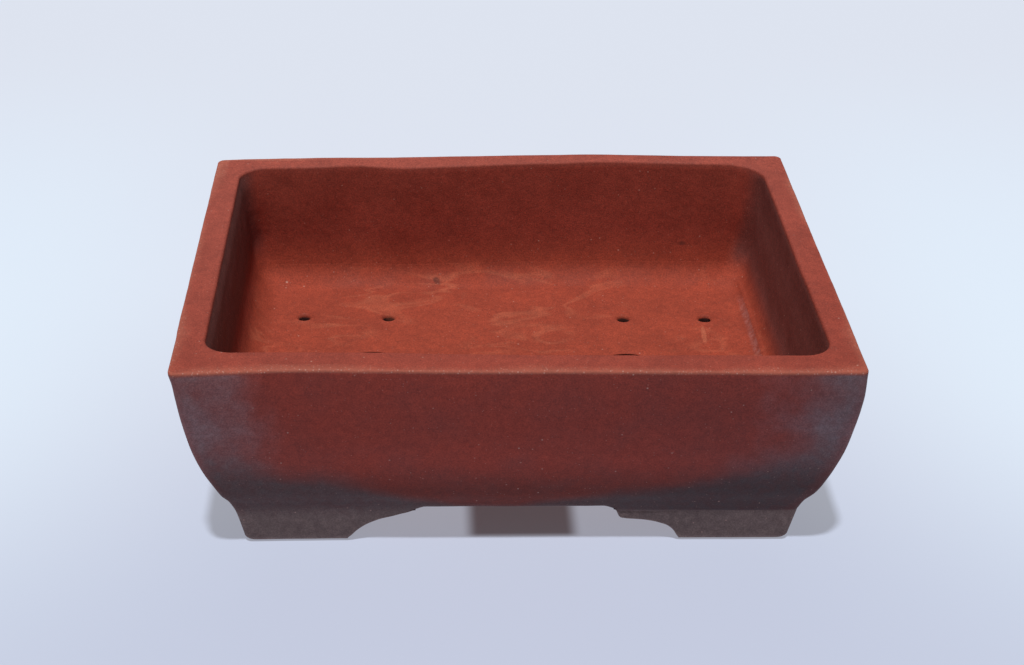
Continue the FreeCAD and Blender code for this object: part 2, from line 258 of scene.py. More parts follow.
WAVES = (
    wave_band(8, 80.0, 0.14),
    wave_band(12, 26.0, 0.12),
    wave_band(18, 10.0, 0.04),
    wave_band(24, 4.5, 0.014),
)


def wall_inset(z):
    """How far the outer wall draws in at height z, without the curl above the feet."""
    return WALL_RADIUS - np.sqrt(WALL_RADIUS ** 2 - (ARC_LEVEL - z) ** 2)


def inner_depth(z, side=0):
    """Depth of the wall's inner face at height z: straight above, curved with the wall below."""
    curved = WALL_RADIUS - np.sqrt(WALL_INNER_RADIUS ** 2 - (ARC_LEVEL - z) ** 2)
    knee = WALL_RADIUS - math.sqrt(WALL_INNER_RADIUS ** 2 - (ARC_LEVEL - STRAIGHT_LEVEL) ** 2)
    lean = (knee - WALL_TOPS[side]) / (RIM_TOP - STRAIGHT_LEVEL)
    straight = WALL_TOPS[side] + lean * (RIM_TOP - z)
    return -smooth_minimum(-curved, -straight, STRAIGHT_SOFTNESS)


def wander(points):
    """Moves points as the hand-made pot differs from the straight one. Feet stay on the ground."""
    p = points.reshape(-1, 3).copy()
    x, y, z = p[:, 0].copy(), p[:, 1].copy(), p[:, 2].copy()
    inset = wall_inset(np.clip(z, SKIRT, ARC_LEVEL))
    height = LOW_WANDER + (1.0 - LOW_WANDER) * smoothstep(*WANDER_LEVELS, z)
    for sign, outer, inner, rim in ((-1, FRONT_OUTER, FRONT_INNER, RIM_WIDTHS[0]),
                                    (1, BACK_OUTER, BACK_INNER, RIM_WIDTHS[2])):
        depth = HALF_WIDTH - inset - sign * y
        share = np.clip(depth / rim, 0.0, 1.0)
        shift = through(outer, x) * (1.0 - share) + through(inner, x) * share
        p[:, 1] += shift * height * smoothstep(*WANDER_DEPTHS, depth)
    depth = HALF_WIDTH - inset - y
    lift = smoothstep(*LIFT_DEPTHS, depth) * smoothstep(*LIFT_LEVELS, z)
    p[:, 2] += through(BACK_LIFT, x) * lift
    outer_end = smoothstep(*SHIFT_BAND, np.abs(x))
    p[:, 0] += np.where(x < 0.0, through(LEFT_SHIFT, z), through(RIGHT_SHIFT, z)) * outer_end
    grounded = smoothstep(*GROUNDED_LEVELS, z)
    for waves, phases, pushes in WAVES:
        push = np.sin(points.reshape(-1, 3) @ waves.T + phases) @ pushes
        push[:, 2] *= grounded
        p += push
    p = np.clip(p, low_corner, high_corner)
    return p.reshape(points.shape)


# ------------ rings, sections and meshes


def place(side, station, depths, radii, height):
    """Points on one side of the pot.

    station runs from -2 to 2: the straight run is -1 to 1, and beyond it lies half of each rounded
    corner, up to the mitre. depths has one value or array per side, radii one per corner.
    """
    after = (side + 1) % 4
    before = (side - 1) % 4
    out = HALVES[side] - depths[side]
    end_after = HALVES[after] - depths[after]
    end_before = HALVES[before] - depths[before]
    turn = np.clip(np.abs(station) - 1.0, 0.0, 1.0) * (math.pi / 4.0)
    radius = np.where(station > 0, radii[side], radii[before])
    end = np.where(station > 0, end_after, end_before)
    run = np.clip(np.abs(station), 0.0, 1.0)
    middle = 0.5 * ((end_after - radii[side]) - (end_before - radii[before]))
    straight = middle * (1.0 - run) + np.sign(station) * run * (end - radius)
    along = straight + np.sign(station) * radius * np.sin(turn)
    outward = out - radius * (1.0 - np.cos(turn))
    along, outward, z = np.broadcast_arrays(along, outward, height)
    xy = along[..., None] * ALONG[side] + outward[..., None] * OUTWARD[side]
    return np.concatenate((xy, z[..., None]), axis=-1)


def side_stations(side, spacing):
    """Stations over a whole side, evenly spaced on the straight run and on both corner arcs."""
    run = 2.0 * HALVES[(side + 1) % 4]
    straight = np.linspace(-1.0, 1.0, int(run / spacing) + 1)
    arc = spread(1.0, 2.0, ARC_STEPS)
    return np.concatenate((-arc[::-1], straight, arc))


def add_mesh(name, vertices, faces):
    """Makes the mesh object, smooth but sharp where faces meet at a clear angle."""
    mesh = bpy.data.meshes.new(name)
    mesh.from_pydata((vertices / MM).tolist(), [], faces)
    mesh.validate()
    mesh.polygons.foreach_set("use_smooth", [True] * len(mesh.polygons))
    mesh.set_sharp_from_angle(angle=SHARP_ANGLE)
    mesh.update()
    return new_object(name, mesh)


def tube_mesh(name, grid):
    """A closed mesh from a grid of loops: rows are stations, columns go round the section."""
    stations, around = grid.shape[:2]
    faces = []
    for i in range(stations - 1):
        a = i * around
        b = a + around
        for j in range(around):
            k = (j + 1) % around
            faces.append((a + j, a + k, b + k, b + j))
    last = (stations - 1) * around
    faces.append(tuple(range(around - 1, -1, -1)))
    faces.append(tuple(last + j for j in range(around)))
    vertices = wander(grid).reshape(-1, 3)
    return add_mesh(name, vertices, faces)


def outer_depth(z, side, softness):
    """Depth of the outside at height z: the curved wall, then the steeper face of the foot."""
    curled = wall_inset(z) + CURL * smoothstep(*CURL_BAND, z)
    crease = CREASE_LEVELS[side]
    start = wall_inset(crease) + CURL * smoothstep(*CURL_BAND, crease)
    foot_face = start + FOOT_SLOPES[side] * (crease - z)
    return smooth_minimum(curled, foot_face, softness)


def crease_softness(side, stations):
    """How rounded the crease above the feet is: the left end's is smoothed over the most."""
    towards_right = {"front": 1.0, "right": 0.0, "back": -1.0, "left": 0.0}[SIDES[side]]
    if towards_right == 0.0:
        share = np.full(stations.shape, float(SIDES[side] == "right"))
    else:
        share = smoothstep(-SOFTNESS_CHANGE, SOFTNESS_CHANGE, stations * towards_right)
    return SOFTNESS_LEFT * (1.0 - share) + SOFTNESS_RIGHT * share


def spread(start, end, count):
    """Evenly spaced values after start, up to and with end."""
    return np.linspace(start, end, count + 1)[1:]


def between(start, end, share):
    """Start where share is 0, end where it is 1, and evenly in between."""
    return start * (1.0 - share) + end * share


# ------------ the feet's cloud outline

# Curves of (way from the base's end towards the middle, height); the crisp one has a step.
CLOUD_SOFT = ((0, 0), (1.0, 1.7), (2.8, 4.0), (6.4, 7.3), (11.7, 10.2), (18.8, 12.6), (23.5, 14.6),
              (25.6, 15.9), (26.6, 16.1))
CLOUD_CRISP = ((0, 0), (0.6, 1.2), (2.3, 4.4), (4.2, 6.5), (7.6, 8.3), (13.3, 9.9), (18.3, 10.4),
               (22.0, 10.8), (23.6, 11.3), (24.5, 12.7), (25.1, 14.7), (25.9, 15.9), (26.6, 16.1))
CLOUDS = {"front_left": CLOUD_SOFT, "front_right": CLOUD_CRISP,
          "back_left": CLOUD_CRISP, "back_right": CLOUD_SOFT}
FOOT_TOE_LONG = 39.8
FOOT_TOE_SHORT = 30.0
CLOUD_RUN_LONG = CLOUD_SOFT[-1][0]
CLOUD_RUN_SHORT = 22.0
BASE_DEPTH = 21.0
SKIRT_ROUNDING = 3.8
FOOT_ROUNDING = 3.4
EDGE_STRETCH = (1.0, 1.6, 1.0, 1.2)
CLOUD_ROUNDING = 1.3
FOOT_INNER_ROUNDING = 2.0


def foot_plan(side):
    """From the middle of a side: its corner, the end of the foot's base, and the cloud's run."""
    long_side = side in (0, 2)
    corner = HALVES[(side + 1) % 4] - BASE_DEPTH
    toe = FOOT_TOE_LONG if long_side else FOOT_TOE_SHORT
    run = CLOUD_RUN_LONG if long_side else CLOUD_RUN_SHORT
    return corner, corner - toe, run


# ------------ walls

# Below this level the wall's outer face has closer rows, for the curl and the crease.
CLOSER_ROWS = 26.0
LEAST_ROUNDING = 0.01
ROUNDING_FADE = (0.5, -4.5)


def wall(side):
    """One bent slab with mitred ends; its lower edge is rounded between the feet."""
    stations = side_stations(side, WALL_SPACING)[:, None]
    corner, base_end, run = foot_plan(side)
    across = np.abs(np.clip(stations, -1.0, 1.0)) * (corner - OUTER_CORNER_RADIUS)
    fade = [base_end - run + way for way in ROUNDING_FADE]
    rounding = SKIRT_ROUNDING * smoothstep(*fade, across)
    upper = np.linspace(RIM_UNDERSIDE, CLOSER_ROWS, 44)
    lower = spread(CLOSER_ROWS, SKIRT + SKIRT_ROUNDING, 14)
    edge = SKIRT + SKIRT_ROUNDING * (1.0 - np.sin(spread(0.0, QUARTER, 8)))
    outer_z = np.concatenate((upper, lower, edge))
    inner_z = np.linspace(SKIRT, RIM_UNDERSIDE, 46)
    under = np.linspace(0.0, 1.0, 8)[1:-1]
    over = np.linspace(0.0, 1.0, 5)[1:-1]
    softness = crease_softness(side, stations)
    drop = np.clip(1.0 - (outer_z - SKIRT) / np.maximum(rounding, LEAST_ROUNDING), 0.0, 1.0)
    tuck = rounding * (1.0 - np.sqrt(1.0 - drop ** 2))
    depths = []
    for k in range(4):
        outside = outer_depth(outer_z, k, softness) + tuck
        inner = inner_depth(inner_z, k)
        bottom = between(outside[:, -1:], inner[0], under)
        inside = np.broadcast_to(inner, (len(stations), len(inner)))
        top = between(inner[-1], outside[:, :1], over)
        depths.append(np.concatenate((outside, bottom, inside, top), axis=1))
    heights = np.concatenate((outer_z, np.full(len(under), SKIRT), inner_z,
                              np.full(len(over), RIM_UNDERSIDE)))
    radius = np.concatenate((
        np.full(len(outer_z), OUTER_CORNER_RADIUS),
        between(OUTER_CORNER_RADIUS, HIDDEN_RADIUS, under),
        np.full(len(inner_z), HIDDEN_RADIUS),
        between(HIDDEN_RADIUS, OUTER_CORNER_RADIUS, over),
    ))
    grid = place(side, stations, depths, [radius] * 4, heights)
    return tube_mesh(SIDES[side] + "_wall_clay", grid)


# ------------ rim strips

RIM_OUTER_ROUNDING = 1.0
RIM_INNER_ROUNDING = 1.2
LIP_ROUNDING = 1.0
RIM_CROWN = 0.25


def rim(side):
    """One rim strip with mitred ends, flush with the wall outside and with a lip inside."""
    stations = side_stations(side, RIM_SPACING)[:, None]
    face_z = np.linspace(RIM_UNDERSIDE, RIM_TOP - RIM_OUTER_ROUNDING, 7)
    turn = spread(0.0, QUARTER, 7)
    edge_z = RIM_TOP - RIM_OUTER_ROUNDING * (1.0 - np.sin(turn))
    edge_in = RIM_OUTER_ROUNDING * (1.0 - np.cos(turn))
    across = np.linspace(0.0, 1.0, 14)[1:-1]
    inner_turn = np.linspace(0.0, QUARTER, 7)
    inner_z = RIM_TOP - RIM_INNER_ROUNDING * (1.0 - np.cos(inner_turn))
    inner_back = RIM_INNER_ROUNDING * (1.0 - np.sin(inner_turn))
    lip_top = RIM_UNDERSIDE + LIP_ROUNDING
    lip_face = spread(RIM_TOP - RIM_INNER_ROUNDING, lip_top, 5)
    lip_turn = spread(0.0, QUARTER, 4)
    lip_z = lip_top - LIP_ROUNDING * np.sin(lip_turn)
    lip_back = LIP_ROUNDING * (1.0 - np.cos(lip_turn))
    under = np.linspace(0.0, 1.0, 10)[1:-1]
    heights = np.concatenate((
        face_z, edge_z, RIM_TOP + RIM_CROWN * np.sin(across * math.pi), inner_z, lip_face, lip_z,
        np.full(len(under), RIM_UNDERSIDE),
    ))
    share = np.concatenate((
        np.zeros(len(face_z) + len(edge_z)), across,
        np.ones(len(inner_z) + len(lip_face) + len(lip_z)), 1.0 - under,
    ))
    fall_z = np.concatenate((lip_face, lip_z))
    depths = []
    for k in range(4):
        width = RIM_WIDTHS[k]
        first = wall_inset(np.concatenate((face_z, edge_z)))
        first[len(face_z):] += edge_in
        if SIDES[k] == "front":
            lip = width - np.concatenate((np.zeros(len(lip_face)), lip_back))
        else:
            lip = inner_depth(fall_z, k)
        last = np.concatenate((width - inner_back, lip))
        middle = between(first[-1], last[0], across)
        back = between(last[-1], first[0], under)
        depths.append(np.concatenate((first, middle, last, back)))
    radii = [between(OUTER_CORNER_RADIUS, radius, share) for radius in OPENING_RADII]
    grid = place(side, stations, depths, radii, heights)
    return tube_mesh(SIDES[side] + "_rim_clay", grid)


# ------------ coils

# The cove's curve bends by these shares of its rise and run; its hidden back lies behind it.
COVE_BENDS = (0.55, 0.45)
COVE_BACK_LEVEL = 4.0
COVE_OVERLAP = (0.8, 0.5)
COVE_BACK_RADIUS = 2.6

# A thin bead left along the right-hand seam: its height, and its place and width along the cove.
BEAD_HEIGHT = 0.4
BEAD_LEVEL = 0.45
BEAD_WIDTH = 0.07
BEAD_WAY = (0.75, 0.66)


def cove_section(side):
    """Depth and height of the soft cove between wall and floor, and of its hidden back."""
    top_z = FLOOR_TOP + COVE_RISE
    top_depth = inner_depth(top_z, side)
    lean = inner_depth(top_z - 0.5, side) - inner_depth(top_z + 0.5, side)
    wall_way = np.array((lean, -1.0)) / math.hypot(lean, 1.0)
    floor_depth = inner_depth(FLOOR_TOP, side)
    ends = (
        np.array((top_depth, top_z)),
        np.array((top_depth, top_z)) + wall_way * COVE_RISE * COVE_BENDS[0],
        np.array((floor_depth + COVE_RUN * COVE_BENDS[1], FLOOR_TOP)),
        np.array((floor_depth + COVE_RUN, FLOOR_TOP)),
    )
    u = np.linspace(0.0, 1.0, 19)[:, None]
    curve = (ends[0] * (1 - u) ** 3 + ends[1] * 3 * u * (1 - u) ** 2
             + ends[2] * 3 * u ** 2 * (1 - u) + ends[3] * u ** 3)
    if SIDES[side] == "right":
        bead = BEAD_HEIGHT * np.exp(-((u[:, 0] - BEAD_LEVEL) / BEAD_WIDTH) ** 2)
        curve += bead[:, None] * np.array(BEAD_WAY)
    back_z = FLOOR_TOP + COVE_BACK_LEVEL
    back = np.array((
        (floor_depth + COVE_RUN + COVE_OVERLAP[0], FLOOR_TOP - TUCK),
        (floor_depth, FLOOR_TOP - TUCK),
        (inner_depth(back_z, side) - TUCK, back_z),
        (top_depth - TUCK, top_z + COVE_OVERLAP[1]),
    ))
    return np.concatenate((curve, back))


def floor_seam_coil(side):
    """A coil pressed into the seam between the floor and one wall, smoothed to a cove."""
    stations = side_stations(side, WALL_SPACING)[:, None]
    sections = [cove_section(k) for k in range(4)]
    depths = [section[:, 0] for section in sections]
    heights = sections[side][:, 1]
    neighbours = [(side + 1) % 4, (side - 1) % 4]
    ends = (smoothstep(1.0, 2.0, stations), smoothstep(1.0, 2.0, -stations))
    height = np.broadcast_to(heights, (len(stations), len(heights))).copy()
    depth = [np.broadcast_to(d, height.shape).copy() for d in depths]
    for k, share in zip(neighbours, ends):
        middle = 0.5 * (heights + sections[k][:, 1])
        height += share * (middle - heights)
        own = 0.5 * (depths[side] + depths[k])
        depth[side] += share * (own - depths[side])
        depth[k] += share * (own - depths[k])
    radius = np.full(len(heights), COIL_RADIUS)
    radius[-2:] = COVE_BACK_RADIUS
    grid = place(side, stations, depth, [radius] * 4, height)
    return tube_mesh(SIDES[side] + "_floor_seam_coil_clay", grid)


# Above this level the corner coils widen to the opening's radius; they start just before the arc.
COIL_BEND_START = 42.0
COIL_EDGE = 0.985


def corner_coil(corner):
    """A coil pressed up one inside corner, smoothed to a hollow round."""
    first = corner
    second = (corner + 1) % 4
    levels = np.linspace(FLOOR_TOP + COVE_RISE, RIM_UNDERSIDE, 34)[:, None]
    depths = [inner_depth(levels, k) for k in range(4)]
    widen = smoothstep(COIL_BEND_START, RIM_UNDERSIDE, levels)
    bend = between(COIL_RADIUS, OPENING_RADII[corner], widen)
    arc = np.linspace(1.0, 2.0, ARC_STEPS + 1)[None, :]
    edge = np.array(((COIL_EDGE,),))
    mitre = np.array(((2.0,),))
    arc_start = np.array(((1.0,),))

    def face(side, station, inset, radius):
        return place(side, station, [d - inset for d in depths], [radius] * 4, levels)

    parts = (
        face(first, edge, TUCK, bend),
        face(first, arc, 0.0, bend),
        face(second, -arc[:, -2::-1], 0.0, bend),
        face(second, -edge, TUCK, bend),
        face(second, -arc_start, TUCK, HIDDEN_RADIUS),
        face(second, -mitre, TUCK, HIDDEN_RADIUS),
        face(first, arc_start, TUCK, HIDDEN_RADIUS),
    )
    grid = np.concatenate(parts, axis=1)
    return tube_mesh(CORNERS[corner] + "_corner_coil_clay", grid[::-1])


# ------------ feet

# A faint groove runs along the crease between each foot and the wall.
GROOVE_DEPTH = {"front_left": 0.05, "front_right": 0.30, "back_left": 0.15, "back_right": 0.20}
GROOVE_HALF_HEIGHT = 0.55
FOOT_BACK_RADIUS = 1.6
MOST_ROUNDING = 0.45
BASE_ROUNDING_BAND = (3.0, 0.0)

# The outline's tip stops just short of the skirt's end; rows are closest round the end of the base.
TIP_HEIGHT = 0.35
TIP_GAP = 0.15
CLOSE_BEFORE = 2.0
CLOSE_AFTER = 6.0


def cloud_height(name, way, run):
    """Height of a foot's underside, by the way from its flat base's end towards the middle."""
    along = np.clip(way / (run / CLOUD_RUN_LONG), 0.0, CLOUD_RUN_LONG)
    tip = SKIRT - TIP_HEIGHT
    return np.minimum(through(CLOUDS[name], along) * tip / CLOUDS[name][-1][1], tip)


def foot_arm(name, side, sign):
    """One arm of a foot, from the tip of its cloud outline to the mitre at the corner.

    sign is 1 where the foot stands at the side's far end and -1 where it stands at the near end.
    """
    end, base_end, run = foot_plan(side)
    nominal_end = end - OUTER_CORNER_RADIUS
    flat = np.linspace(nominal_end, base_end + CLOSE_BEFORE, 26)
    toe = np.linspace(base_end + CLOSE_BEFORE, base_end - CLOSE_AFTER, 17)[1:]
    cloud = spread(base_end - CLOSE_AFTER, base_end - run + TIP_GAP, 34)
    across = np.concatenate((flat, toe, cloud))[::-1]
    arc = spread(1.0, 2.0, ARC_STEPS)
    station = sign * np.concatenate((across / nominal_end, arc))
    across = np.concatenate((across, np.full(len(arc), end)))
    bottom = cloud_height(name, base_end - across, run)[:, None]
    tall = SKIRT - bottom
    want = between(CLOUD_ROUNDING, FOOT_ROUNDING, smoothstep(*BASE_ROUNDING_BAND, bottom))
    rounding = np.minimum(want, MOST_ROUNDING * tall)
    back_rounding = np.minimum(FOOT_INNER_ROUNDING, MOST_ROUNDING * tall)

    turn = spread(0.0, QUARTER, 7)
    inner_turn = np.linspace(0.0, QUARTER, 5)
    under = np.linspace(0.0, 1.0, 7)[1:-1]
    over = np.linspace(0.0, 1.0, 6)[1:-1]
    face_z = SKIRT - (tall - rounding) * np.linspace(0.0, 1.0, 24)
    edge_z = bottom + rounding * (1.0 - np.sin(turn))
    under_z = np.broadcast_to(bottom, (len(bottom), len(under)))
    inner_z = bottom + back_rounding * (1.0 - np.cos(inner_turn))
    back_z = bottom + back_rounding + (tall - back_rounding) * spread(0.0, 1.0, 8)
    over_z = np.full((len(bottom), len(over)), SKIRT)
    heights = np.concatenate((face_z, edge_z, under_z, inner_z, back_z, over_z), axis=1)

    softness = SOFTNESS_LEFT if name.endswith("left") else SOFTNESS_RIGHT
    depths = []
    for k in range(4):
        off_crease = (face_z - CREASE_LEVELS[k]) / GROOVE_HALF_HEIGHT
        groove = GROOVE_DEPTH[name] * np.exp(-off_crease ** 2)
        face_d = outer_depth(face_z, k, softness) + groove
        edge_d = face_d[:, -1:] + EDGE_STRETCH[k] * rounding * (1.0 - np.cos(turn))
        inner_d = FOOT_INNER_DEPTH - back_rounding * (1.0 - np.sin(inner_turn))
        under_d = between(edge_d[:, -1:], inner_d[:, :1], under)
        back_d = np.full(back_z.shape, FOOT_INNER_DEPTH)
        over_d = between(FOOT_INNER_DEPTH, face_d[:, :1], over)
        depths.append(np.concatenate((face_d, edge_d, under_d, inner_d, back_d, over_d), axis=1))
    radius = np.concatenate((
        np.full(face_z.shape[1] + len(turn), OUTER_CORNER_RADIUS),
        np.linspace(OUTER_CORNER_RADIUS, FOOT_BACK_RADIUS, len(under)),
        np.full(len(inner_turn) + back_z.shape[1], FOOT_BACK_RADIUS),
        np.linspace(FOOT_BACK_RADIUS, OUTER_CORNER_RADIUS, len(over)),
    ))

    # The cloud outline keeps its place; only the flat base stretches to reach the corner's arc.
    straight_end = HALVES[(side + sign) % 4] - depths[(side + sign) % 4] - radius
    size = np.abs(station)[:, None] * nominal_end
    stretch = (straight_end - base_end) / (nominal_end - base_end)
    size = np.where(size > base_end, base_end + (size - base_end) * stretch, size)
    even = sign * size / straight_end
    station = np.where(np.abs(station)[:, None] > 1.0, station[:, None], even)
    return place(side, station, depths, [radius] * 4, heights)


def foot(corner):
    """An L-shaped foot with a flat base, and a cloud outline that rises to the skirt on each arm."""
    name = CORNERS[corner]
    first = foot_arm(name, corner, 1)
    second = foot_arm(name, (corner + 1) % 4, -1)
    joined = np.concatenate((first, second[::-1][1:]), axis=0)
    return tube_mesh(name + "_foot_clay", joined)


# ------------ floor

GRID_SPACING = 2.6
GRID_STAGGER = 0.25
EDGE_ROWS = 5

# Holes above BIG_HOLE in radius are drain holes. Points go round each hole at these distances.
BIG_HOLE = 6.0
HOLE_RINGS = (0.0, 0.25, 0.6, 1.1, 1.8, 2.7, 3.9)
HOLE_STEPS = {"big": 64, "small": 28}
HOLE_EDGE_DROP = 0.5
HOLE_EDGE_REACH = {"big": 0.8, "small": 0.45}
CRATER_HEIGHT = 0.55
CRATER_GAP = 1.1
CRATER_WIDTH = 0.8

# A triangle whose middle lies within this share of a hole's radius is part of the hole.
OPEN_SHARE = 0.985

# From here outwards the underside draws in with the walls, along the pot and across it.
DRAW_IN_FROM = (91.0, 60.0)

# The holes were cut by hand: how far each one is off its place in the record.
DRAIN_OFFSETS = {"left_drain": (-3.0, 1.6), "right_drain": (-2.9, -1.0)}
WIRE_HOLE_OFFSETS = {"outer_wire_holes": ((0.3, 1.3), (-1.3, -0.8)),
                     "inner_wire_holes": ((1.2, 0.6), (0.9, -0.8))}


def floor_holes():
    """Centre and radius of every hole, from the record's mounts."""
    holes = []
    for mount in frame["record"]["mounts"]:
        x, y = mount["pos_m"][0] * MM, mount["pos_m"][1] * MM
        dims = mount["dims"]
        if mount["kind"] == "bore":
            off_x, off_y = DRAIN_OFFSETS[mount["name"]]
            holes.append((x + off_x, y + off_y, dims["r_mm"]))
        if mount["kind"] == "bolt_pattern":
            for sx, (off_x, off_y) in zip((-0.5, 0.5), WIRE_HOLE_OFFSETS[mount["name"]]):
                for sy in (-0.5, 0.5):
                    holes.append((x + sx * dims["spacing_x_mm"] + off_x,
                                  y + sy * dims["spacing_y_mm"] + off_y, dims["hole_r_mm"]))
    return holes


def hole_size(radius):
    return "big" if radius > BIG_HOLE else "small"


def clear_of_holes(x, y, holes, share=1.0, gap=0.0):
    """Whether a point is farther from every hole's centre than share of its radius, plus gap."""
    return all(math.hypot(x - cx, y - cy) > r * share + gap for cx, cy, r in holes)


def hole_points(holes):
    """Rings of points round every hole, and the numbers of the points on each hole's edge."""
    points = []
    loops = []
    for cx, cy, r in holes:
        count = HOLE_STEPS[hole_size(r)]
        loops.append(range(len(points), len(points) + count))
        for ring, extra in enumerate(HOLE_RINGS):
            for i in range(count):
                angle = 2.0 * math.pi * (i + 0.5 * (ring % 2)) / count
                points.append((cx + (r + extra) * math.cos(angle), cy + (r + extra) * math.sin(angle)))
    return points, loops


def border_points(half_x, half_y, nx, ny):
    """Evenly spaced points round the slab's edge, anticlockwise."""
    front_and_right = [(-half_x + 2.0 * half_x * i / nx, -half_y) for i in range(nx)]
    front_and_right += [(half_x, -half_y + 2.0 * half_y * i / ny) for i in range(ny)]
    return front_and_right + [(-x, -y) for x, y in front_and_right]


def grid_points(half_x, half_y, nx, ny, holes):
    """Staggered rows of points over the slab, clear of the rings round the holes."""
    reach = HOLE_RINGS[-1] + 0.5 * GRID_SPACING
    points = []
    for i in range(1, nx):
        for j in range(1, ny):
            x = -half_x + 2.0 * half_x * (i + GRID_STAGGER * (-1) ** j) / nx
            y = -half_y + 2.0 * half_y * j / ny
            if clear_of_holes(x, y, holes, gap=reach):
                points.append((x, y))
    return points


def floor_triangles(points, holes):
    """Flat points and the triangles between them, holes left open, and each point's new number."""
    result = delaunay_2d_cdt([Vector(point) for point in points], [], [], 0, 1e-6)
    flat = np.array([tuple(vertex) for vertex in result[0]])
    index = np.full(len(points), -1)
    for new, olds in enumerate(result[3]):
        for old in olds:
            index[old] = new
    triangles = []
    for triangle in result[2]:
        middle = flat[list(triangle)].mean(axis=0)
        if clear_of_holes(middle[0], middle[1], holes, share=OPEN_SHARE):
            triangles.append(tuple(triangle))
    return flat, triangles, index


def floor_heights(flat, holes):
    """Height of the slab's top: a low crater round each wire hole, and edges that drop into holes."""
    height = np.full(len(flat), FLOOR_TOP)
    for cx, cy, r in holes:
        gap = np.hypot(flat[:, 0] - cx, flat[:, 1] - cy) - r
        if hole_size(r) == "small":
            height += CRATER_HEIGHT * np.exp(-((gap - CRATER_GAP) / CRATER_WIDTH) ** 2)
        height -= HOLE_EDGE_DROP * np.exp(-np.maximum(gap, 0.0) / HOLE_EDGE_REACH[hole_size(r)])
    return height


def floor_underside(top):
    """The top's points moved to the underside, drawn in near the edges as the walls are."""
    under = top.copy()
    under[:, 2] = FLOOR_UNDERSIDE
    for axis, half in enumerate((HALF_LENGTH, HALF_WIDTH)):
        start = DRAW_IN_FROM[axis]
        top_run = half - inner_depth(FLOOR_TOP) - start
        low_run = half - inner_depth(FLOOR_UNDERSIDE) - start
        beyond = np.abs(under[:, axis]) - start
        drawn_in = np.sign(under[:, axis]) * (start + beyond * low_run / top_run)
        under[:, axis] = np.where(beyond > 0.0, drawn_in, under[:, axis])
    return under


def floor_slab():
    """The base slab with its drain and wire holes, softened at their edges."""
    half_x = HALF_LENGTH - inner_depth(FLOOR_TOP)
    half_y = HALF_WIDTH - inner_depth(FLOOR_TOP)
    nx = int(2.0 * half_x / GRID_SPACING)
    ny = int(2.0 * half_y / GRID_SPACING)
    holes = floor_holes()
    points, hole_loops = hole_points(holes)
    border = border_points(half_x, half_y, nx, ny)
    border_loop = range(len(points), len(points) + len(border))
    points += border
    points += grid_points(half_x, half_y, nx, ny, holes)
    flat, triangles, index = floor_triangles(points, holes)
    top = np.column_stack((flat, floor_heights(flat, holes)))
    under = floor_underside(top)

    count = len(top)
    total = 2 * count
    vertices = [top, under]
    faces = list(triangles)
    faces += [tuple(count + v for v in reversed(triangle)) for triangle in triangles]
    for loop, outer in [(border_loop, True)] + [(loop, False) for loop in hole_loops]:
        ids = [int(index[v]) for v in loop]
        rows = [ids]
        for step in range(1, EDGE_ROWS):
            rows.append(list(range(total, total + len(ids))))
            vertices.append(between(top[ids], under[ids], step / EDGE_ROWS))
            total += len(ids)
        rows.append([count + v for v in ids])
        for upper, lower in zip(rows[:-1], rows[1:]):
            for i in range(len(ids)):
                k = (i + 1) % len(ids)
                quad = (upper[i], lower[i], lower[k], upper[k])
                faces.append(quad if outer else quad[::-1])
    return add_mesh("floor_slab_clay", wander(np.concatenate(vertices)), faces)


# ------------ clay material


# A speck is full within this share of its radius, a blot within this share of its squared size.
SPECK_CORE = 0.45
PALEST_SPECK = 0.35
BLOT_CORE = 0.2


